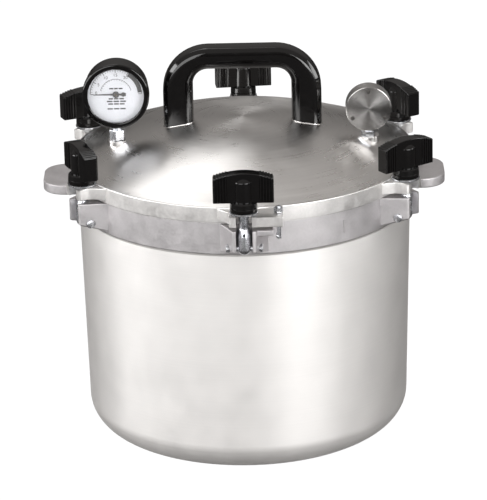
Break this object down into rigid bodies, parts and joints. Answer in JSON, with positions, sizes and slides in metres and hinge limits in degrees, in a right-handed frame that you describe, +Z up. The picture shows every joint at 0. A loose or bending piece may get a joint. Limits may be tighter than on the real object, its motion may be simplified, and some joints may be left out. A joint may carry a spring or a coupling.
{
  "type": "pressure canner",
  "caption": "Cast metal pressure canner: a deep pot with side grips, a domed cover pulled down by swing clamps with wing nuts, a top handle, dial gauge, regulator weight and jar rack.",
  "frame": {"origin": "centre of the pot's flat base, on the surface it stands on", "axes": "+Z up; the gauge's dial and the front clamp face -Y; the gauge is on the -X side and the regulator weight on the +X side"},
  "size_m": [0.3876, 0.3796, 0.3803],
  "materials": {
    "satin_aluminium": "machined to a fine satin, with a rough cast band",
    "polished_aluminium": "turned and brushed round and round",
    "black_phenolic": "glossy moulded phenolic",
    "zinc_steel": "bright zinc plate",
    "brass": "plain",
    "black_rubber": "matt",
    "dial_white": "silver-white dial paint",
    "needle_black": "black",
    "clear_glass": "clear"
  },
  "bodies": {
    "pot": {"pot": "satin_aluminium", "clamp_pin_front": "zinc_steel", "clamp_pin_front_right": "zinc_steel", "clamp_pin_rear_right": "zinc_steel", "clamp_pin_rear": "zinc_steel", "clamp_pin_rear_left": "zinc_steel", "clamp_pin_front_left": "zinc_steel"},
    "cover": {"cover": "polished_aluminium", "top_handle": "black_phenolic", "handle_screw_left": "zinc_steel", "handle_screw_right": "zinc_steel", "locating_hook": "zinc_steel", "hook_nut": "zinc_steel", "vent_pipe": "zinc_steel", "gauge_case": "black_phenolic", "gauge_bezel": "black_phenolic", "gauge_lens": "clear_glass", "gauge_dial": "dial_white", "gauge_socket": "zinc_steel", "bourdon_tube": "brass", "movement_plate": "brass", "sector_pin": "zinc_steel"},
    "rack": {"jar_rack": "satin_aluminium"},
    "needle": {"gauge_needle": "needle_black", "needle_spindle": "brass"},
    "sector": {"sector_gear": "brass"},
    "weight": {"regulator_weight": "polished_aluminium"},
    "plug": {"overpressure_plug": "black_rubber"},
    "bolt_front": {"clamp_bolt_front": "zinc_steel"},
    "washer_front": {"clamp_washer_front": "zinc_steel"},
    "nut_front": {"wing_nut_front": "black_phenolic", "nut_insert_front": "brass"},
    "bolt_front_right": {"clamp_bolt_front_right": "zinc_steel"},
    "washer_front_right": {"clamp_washer_front_right": "zinc_steel"},
    "nut_front_right": {"wing_nut_front_right": "black_phenolic", "nut_insert_front_right": "brass"},
    "bolt_rear_right": {"clamp_bolt_rear_right": "zinc_steel"},
    "washer_rear_right": {"clamp_washer_rear_right": "zinc_steel"},
    "nut_rear_right": {"wing_nut_rear_right": "black_phenolic", "nut_insert_rear_right": "brass"},
    "bolt_rear": {"clamp_bolt_rear": "zinc_steel"},
    "washer_rear": {"clamp_washer_rear": "zinc_steel"},
    "nut_rear": {"wing_nut_rear": "black_phenolic", "nut_insert_rear": "brass"},
    "bolt_rear_left": {"clamp_bolt_rear_left": "zinc_steel"},
    "washer_rear_left": {"clamp_washer_rear_left": "zinc_steel"},
    "nut_rear_left": {"wing_nut_rear_left": "black_phenolic", "nut_insert_rear_left": "brass"},
    "bolt_front_left": {"clamp_bolt_front_left": "zinc_steel"},
    "washer_front_left": {"clamp_washer_front_left": "zinc_steel"},
    "nut_front_left": {"wing_nut_front_left": "black_phenolic", "nut_insert_front_left": "brass"}
  },
  "joints": [
    {"name": "cover_lift", "type": "slide", "parent": "pot", "child": "cover", "axis": [0, 0, 1], "range_m": [0, 0.36]},
    {"name": "rack_lift", "type": "slide", "parent": "pot", "child": "rack", "axis": [0, 0, 1], "range_m": [0, 0.2]},
    {"name": "needle_turn", "type": "hinge", "parent": "cover", "child": "needle", "pos_m": [-0.1205, -0.03, 0.33972], "axis": [0, 1, 0], "range_deg": [0, 180], "stiffness_Nm_per_rad": 0.0005, "springref_deg": -34.38},
    {"name": "sector_turn", "type": "hinge", "parent": "cover", "child": "sector", "pos_m": [-0.1205, -0.03, 0.32612], "axis": [0, 1, 0], "range_deg": [-36.5, 0.5]},
    {"name": "weight_lift", "type": "slide", "parent": "cover", "child": "weight", "axis": [0, 0, 1], "range_m": [0, 0.03]},
    {"name": "plug_release", "type": "slide", "parent": "cover", "child": "plug", "axis": [0, 0, 1], "range_m": [0, 0.02]},
    {"name": "clamp_swing_front", "type": "hinge", "parent": "pot", "child": "bolt_front", "pos_m": [0, -0.1764, 0.2373], "axis": [1, 0, 0], "range_deg": [0, 140]},
    {"name": "washer_rise_front", "type": "slide", "parent": "bolt_front", "child": "washer_front", "axis": [0, 0, 1], "range_m": [0, 0.0065]},
    {"name": "nut_turn_front", "type": "hinge", "parent": "washer_front", "child": "nut_front", "pos_m": [0, -0.1764, 0.2746], "axis": [0, 0, 1], "range_deg": [0, 1440]},
    {"name": "clamp_swing_front_right", "type": "hinge", "parent": "pot", "child": "bolt_front_right", "pos_m": [0.15277, -0.0882, 0.2373], "axis": [0.5, 0.866, 0], "range_deg": [0, 140]},
    {"name": "washer_rise_front_right", "type": "slide", "parent": "bolt_front_right", "child": "washer_front_right", "axis": [0, 0, 1], "range_m": [0, 0.0065]},
    {"name": "nut_turn_front_right", "type": "hinge", "parent": "washer_front_right", "child": "nut_front_right", "pos_m": [0.15277, -0.0882, 0.2746], "axis": [0, 0, 1], "range_deg": [0, 1440]},
    {"name": "clamp_swing_rear_right", "type": "hinge", "parent": "pot", "child": "bolt_rear_right", "pos_m": [0.15277, 0.0882, 0.2373], "axis": [-0.5, 0.866, 0], "range_deg": [0, 140]},
    {"name": "washer_rise_rear_right", "type": "slide", "parent": "bolt_rear_right", "child": "washer_rear_right", "axis": [0, 0, 1], "range_m": [0, 0.0065]},
    {"name": "nut_turn_rear_right", "type": "hinge", "parent": "washer_rear_right", "child": "nut_rear_right", "pos_m": [0.15277, 0.0882, 0.2746], "axis": [0, 0, 1], "range_deg": [0, 1440]},
    {"name": "clamp_swing_rear", "type": "hinge", "parent": "pot", "child": "bolt_rear", "pos_m": [0, 0.1764, 0.2373], "axis": [-1, 0, 0], "range_deg": [0, 140]},
    {"name": "washer_rise_rear", "type": "slide", "parent": "bolt_rear", "child": "washer_rear", "axis": [0, 0, 1], "range_m": [0, 0.0065]},
    {"name": "nut_turn_rear", "type": "hinge", "parent": "washer_rear", "child": "nut_rear", "pos_m": [0, 0.1764, 0.2746], "axis": [0, 0, 1], "range_deg": [0, 1440]},
    {"name": "clamp_swing_rear_left", "type": "hinge", "parent": "pot", "child": "bolt_rear_left", "pos_m": [-0.15277, 0.0882, 0.2373], "axis": [-0.5, -0.866, 0], "range_deg": [0, 140]},
    {"name": "washer_rise_rear_left", "type": "slide", "parent": "bolt_rear_left", "child": "washer_rear_left", "axis": [0, 0, 1], "range_m": [0, 0.0065]},
    {"name": "nut_turn_rear_left", "type": "hinge", "parent": "washer_rear_left", "child": "nut_rear_left", "pos_m": [-0.15277, 0.0882, 0.2746], "axis": [0, 0, 1], "range_deg": [0, 1440]},
    {"name": "clamp_swing_front_left", "type": "hinge", "parent": "pot", "child": "bolt_front_left", "pos_m": [-0.15277, -0.0882, 0.2373], "axis": [0.5, -0.866, 0], "range_deg": [0, 140]},
    {"name": "washer_rise_front_left", "type": "slide", "parent": "bolt_front_left", "child": "washer_front_left", "axis": [0, 0, 1], "range_m": [0, 0.0065]},
    {"name": "nut_turn_front_left", "type": "hinge", "parent": "washer_front_left", "child": "nut_front_left", "pos_m": [-0.15277, -0.0882, 0.2746], "axis": [0, 0, 1], "range_deg": [0, 1440]}
  ],
  "couplings": [
    {"joint": "sector_turn", "follows": "needle_turn", "ratio": -0.2},
    {"joint": "washer_rise_front", "follows": "nut_turn_front", "m_per_rad": 0.00025266},
    {"joint": "washer_rise_front_right", "follows": "nut_turn_front_right", "m_per_rad": 0.00025266},
    {"joint": "washer_rise_rear_right", "follows": "nut_turn_rear_right", "m_per_rad": 0.00025266},
    {"joint": "washer_rise_rear", "follows": "nut_turn_rear", "m_per_rad": 0.00025266},
    {"joint": "washer_rise_rear_left", "follows": "nut_turn_rear_left", "m_per_rad": 0.00025266},
    {"joint": "washer_rise_front_left", "follows": "nut_turn_front_left", "m_per_rad": 0.00025266}
  ]
}
